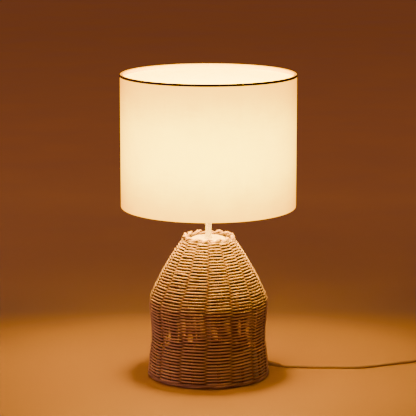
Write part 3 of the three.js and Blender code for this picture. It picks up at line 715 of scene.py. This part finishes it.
def outline_of(node):
    """The closed section [radius, height] of a turned CAD node, walked along its edges in one plane."""
    mesh = nodes[node].data
    at = np.array([v.co for v in mesh.vertices])
    cells = np.round(at / SAME_PLACE).astype(int)
    _, first, same = np.unique(cells, axis=0, return_index=True, return_inverse=True)
    at = at[first]
    same = same.reshape(-1)
    r = np.hypot(at[:, 0], at[:, 1])
    turn = np.arctan2(at[:, 1], at[:, 0])
    off = np.mod(turn - turn[np.argmax(r)] + math.pi, TURN) - math.pi
    on_axis = r < SAME_PLACE
    kept = on_axis | (np.abs(off) < SAME_TURN)
    nearby = {}
    for face in mesh.polygons:
        ring = [int(same[v]) for v in face.vertices]
        for a, b in zip(ring, ring[1:] + ring[:1]):
            if kept[a] and kept[b] and a != b and not (on_axis[a] and on_axis[b]):
                nearby.setdefault(a, set()).add(b)
                nearby.setdefault(b, set()).add(a)
    ends = [v for v in sorted(nearby) if len(nearby[v]) == 1]
    walk = [ends[0] if ends else min(nearby)]
    while True:
        ahead = [v for v in sorted(nearby[walk[-1]]) if v not in walk]
        if not ahead:
            break
        walk.append(ahead[0])
    return [[float(r[v]), float(at[v, 2])] for v in walk]


def eased(outline, radius):
    """The closed outline with its sharp corners rounded."""
    made = []
    for i, corner in enumerate(outline):
        corner = np.array(corner)
        before, after = np.array(outline[i - 1]), np.array(outline[(i + 1) % len(outline)])
        back, on = before - corner, after - corner
        room = min(np.linalg.norm(back), np.linalg.norm(on))
        back, on = unit(back), unit(on)
        bend = math.acos(float(np.clip(-(back * on).sum(), -1, 1)))
        if bend < EASE_OVER or corner[0] < AXIS_R:
            made.append(corner.tolist())
            continue
        cut = min(radius, 0.3 * room)
        start, end = corner + back * cut, corner + on * cut
        for share in (0, 0.25, 0.5, 0.75, 1):
            rounded = start * (1 - share) ** 2 + 2 * corner * share * (1 - share) + end * share**2
            made.append(rounded.tolist())
    return made


def finer(node, name, material, radius):
    """A CAD node's own section, turned with more facets and with its edges eased to that radius."""
    body = next(b for b, empty in frame["bodies"].items() if nodes[node].parent == empty)
    return piece(name, lathe(eased(outline_of(node), radius), 96), material, body, [node])


WHITE_PLASTIC = painted("white_plastic", (0.72, 0.70, 0.64), (0.79, 0.77, 0.71), 45, (0.28, 0.42), 1200, 0.02)
ZINC = painted("zinc_plate", (0.50, 0.49, 0.45), (0.62, 0.60, 0.55), 70, (0.25, 0.45), 900, 0.03, Metallic=1)

finer("neck_cap", "neck_disc", CREAM, 0.9 * MM)
finer("stem_collar", "stem_foot", CREAM, 0.7 * MM)
finer("stem", "stem_tube", CREAM, 0.3 * MM)
finer("holder_cap", "lampholder_cap", WHITE_PLASTIC, 1.2 * MM)
finer("holder_shell", "lampholder_shell", WHITE_PLASTIC, 0.6 * MM)
finer("bulb_neck", "bulb_base", WHITE_PLASTIC, 0.6 * MM)
finer("bulb_cap", "bulb_screw_cap", ZINC, 0.7 * MM)
finer("shade_fitter", "spider_ring", WHITE_WIRE, 0.4 * MM)
finer("shade_collar", "clamping_ring", WHITE_PLASTIC, 0.5 * MM)

BULB_R = 30 * MM
BULB_GLASS = 1.2 * MM
DOME_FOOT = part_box("bulb_dome")[0].z


def dome_section():
    made = []
    for r, order in ((BULB_R, 1), (BULB_R - BULB_GLASS, -1)):
        rise = np.linspace(math.asin((DOME_FOOT - BULB_HEIGHT) / r), math.pi / 2, 22)[::order]
        made.append(np.stack([np.maximum(r * np.cos(rise), 0), BULB_HEIGHT + r * np.sin(rise)], 1))
    return np.vstack(made)


def opal_glow():
    """White glass lit from inside, a little uneven."""
    t = Tree("opal_glow")
    cloud = t.noise(t.place(), 60, 2)
    glow = t.ramp(cloud, [(0.3, (1.0, 0.72, 0.36)), (0.7, (1.0, 0.78, 0.44))])
    t.link(glow, t.shader.inputs["Emission Color"])
    return t.finish(
        t.ramp(cloud, [(0.3, (0.84, 0.82, 0.77)), (0.7, (0.90, 0.88, 0.84))]),
        t.range(cloud, 0.25, 0.35),
        t.bump(cloud, 0.02 * MM),
        Emission_Strength=16.0,
    )


OPAL = opal_glow()
piece("bulb_globe", lathe(dome_section(), 64), OPAL, "bulb", ["bulb_dome"])

ARMS = 3
ARM = 1.75 * MM
ARM_RUN = np.array([
    [27.2, 374.8], [33, 374.8], [38, 374.8], [48, 371.8], [86, 352.6], [125, 333], [137, 328.9], [146, 328.1],
    [160.1, 328],
]) * MM  # radius and height, from the fitter out to the lower wire
arm_curve = spline(ARM_RUN, 8)
for i in range(ARMS):
    turn = math.pi / 2 + i / ARMS * TURN
    path = around(arm_curve[:, 0], turn, arm_curve[:, 1])
    arm = sweep(path, ARM, (-math.sin(turn), math.cos(turn), 0), 12)
    piece(f"shade_arm_{i + 1}", arm, WHITE_WIRE, "shade", [f"spider_arm_{i + 1}"])


# ------------------------------------------------------------------ finishes of the CAD pieces that stay


def black_felt():
    t = Tree("black_felt")
    hair = t.noise(t.scaled(t.place(), (900, 900, 200)), 1.0, 4, 0.7)
    return t.finish(
        t.ramp(hair, [(0.3, (0.018, 0.016, 0.015)), (0.75, (0.055, 0.050, 0.046))]),
        t.range(hair, 0.85, 1.0),
        t.bump(hair, 0.3 * MM),
        Sheen_Weight=0.3,
    )


IRON_DARK, IRON_LIGHT = (0.045, 0.043, 0.041), (0.085, 0.080, 0.075)
IRON = painted("cast_iron", IRON_DARK, IRON_LIGHT, 120, (0.6, 0.85), 700, 0.25, Metallic=0.6)
STEEL_DARK, STEEL_LIGHT = (0.42, 0.42, 0.41), (0.54, 0.54, 0.52)
STEEL = painted("pressed_steel", STEEL_DARK, STEEL_LIGHT, 30, (0.3, 0.5), 900, 0.04, Metallic=1.0)
BRASS = painted("brass", (0.66, 0.46, 0.18), (0.78, 0.58, 0.26), 90, (0.2, 0.4), 900, 0.03, Metallic=1.0)
PORCELAIN = painted("glazed_porcelain", (0.78, 0.76, 0.71), (0.86, 0.84, 0.79), 60, (0.12, 0.25), 700, 0.02)
BLACK_GLASS = painted("black_glass", (0.008, 0.008, 0.01), (0.02, 0.02, 0.022), 200, (0.08, 0.2), 900, 0.02)
TIE = painted("paper_tie", (0.55, 0.52, 0.46), (0.70, 0.67, 0.60), 200, (0.5, 0.7), 1600, 0.06)
WELD = 0.005 * MM
EASED_EDGE = 0.35 * MM
EDGE_ANGLE = math.radians(32)
FINISHES = {
    "felt": black_felt(), "pan_steel": STEEL, "iron": IRON, "zinc": ZINC, "cream_metal": CREAM,
    "white_plastic": WHITE_PLASTIC, "porcelain": PORCELAIN, "brass": BRASS, "black_glass": BLACK_GLASS,
    "white_wire": WHITE_WIRE, "white_pvc": LEAD_PVC, "tie": TIE, "rattan": RATTAN, "linen": LINEN,
    "liner": LINING_FILM, "trim": TAPE, "opal": OPAL,
}
for part in frame["record"]["subparts"]:
    obj = nodes[part["node"]]
    for material_slot in obj.material_slots:
        material_slot.material = FINISHES[part["material_slot"]]
    if obj.hide_render:
        continue
    if "custom_normal" in obj.data.attributes:
        obj.data.attributes.remove(obj.data.attributes["custom_normal"])
    obj.data.polygons.foreach_set("use_smooth", [True] * len(obj.data.polygons))
    weld = obj.modifiers.new("weld", "WELD")
    weld.merge_threshold = WELD
    bevel = obj.modifiers.new("eased_edges", "BEVEL")
    bevel.width = EASED_EDGE
    bevel.segments = 2
    bevel.angle_limit = EDGE_ANGLE
    bevel.use_clamp_overlap = True
    obj.modifiers.new("flat_faces", "WEIGHTED_NORMAL")


# ------------------------------------------------------------------ stage and light

FLOOR_HALF = 20.0
FLOOR_COLOURS = ((0.44, 0.285, 0.108), (0.48, 0.315, 0.122))
# painted light and shade: the floor is darker half a metre behind the lamp and paler beyond, up to about
# twice, standing in for a lit backdrop
BACKDROP_PAINTED_LIGHT = (  # metres behind the lamp, and what the floor's colour is multiplied by there
    (0.33, (1.0, 1.0, 1.0)),
    (0.5, (0.70, 0.75, 1.4)),
    (0.75, (1.12, 1.17, 1.55)),
    (1.8, (1.92, 2.12, 1.8)),
    (3.2, (1.95, 2.1, 1.75)),
    (6.5, (1.65, 1.75, 1.3)),
)
TONED = 9.0  # the tones run this far back


def floor_paint():
    """A matt studio floor that also serves as the backdrop, with painted shade where that begins and painted
    light beyond.
    """
    t = Tree("pale_floor")
    patches = t.noise(t.place(), 3, 4)
    back = t.node("SeparateXYZ", {0: t.place()}).outputs[1]
    tone = t.ramp(t.range(back, 0, 1, 0, TONED), [(y / TONED, tone) for y, tone in BACKDROP_PAINTED_LIGHT])
    colour = t.ramp(patches, [(0.3, FLOOR_COLOURS[0]), (0.7, FLOOR_COLOURS[1])])
    relief_height = t.noise(t.place(), 400, 2)
    return t.finish(
        t.mix(1.0, colour, tone, "MULTIPLY"),
        t.range(patches, 0.55, 0.7, 0.3, 0.7),
        t.bump(relief_height, 0.05 * MM),
    )


corners = np.array([[-1, -1, 0], [1, -1, 0], [1, 1, 0], [-1, 1, 0]]) * FLOOR_HALF
floor_mesh = bpy.data.meshes.new("floor")
floor_mesh.from_pydata(corners.tolist(), [], [(0, 1, 2, 3)])
floor_mesh.materials.append(floor_paint())
floor = bpy.data.objects.new("floor", floor_mesh)
bpy.context.scene.collection.objects.link(floor)

world = bpy.data.worlds.new("studio")
world.use_nodes = True
bpy.context.scene.world = world
room = world.node_tree.nodes["Background"]
room.inputs["Color"].default_value = (1.0, 0.37, 0.29, 1)
room.inputs["Strength"].default_value = 0.20


def light(name, kind, at, power, colour):
    data = bpy.data.lights.new(name, kind)
    data.energy = power
    data.color = colour
    obj = bpy.data.objects.new(name, data)
    obj.location = at
    bpy.context.scene.collection.objects.link(obj)
    return obj


SOFT_LEFT_AT, SOFT_LEFT_AIMED = Vector((-2.6, -0.6, 0.8)), Vector((0, 0, 0.15))  # a weak fill from the left
soft_left = light("soft_left", "AREA", SOFT_LEFT_AT, power=22, colour=(1.0, 0.40, 0.34))
soft_left.data.size = 1.6
soft_left.rotation_euler = (SOFT_LEFT_AIMED - SOFT_LEFT_AT).to_track_quat("-Z", "Y").to_euler()
bulb = light("bulb_light", "POINT", (0, 0, BULB_HEIGHT), power=27, colour=(1.0, 0.44, 0.10))
bulb.data.shadow_soft_size = 46 * MM  # wide enough to reach the floor past the bulb's own neck
bulb.visible_camera = False
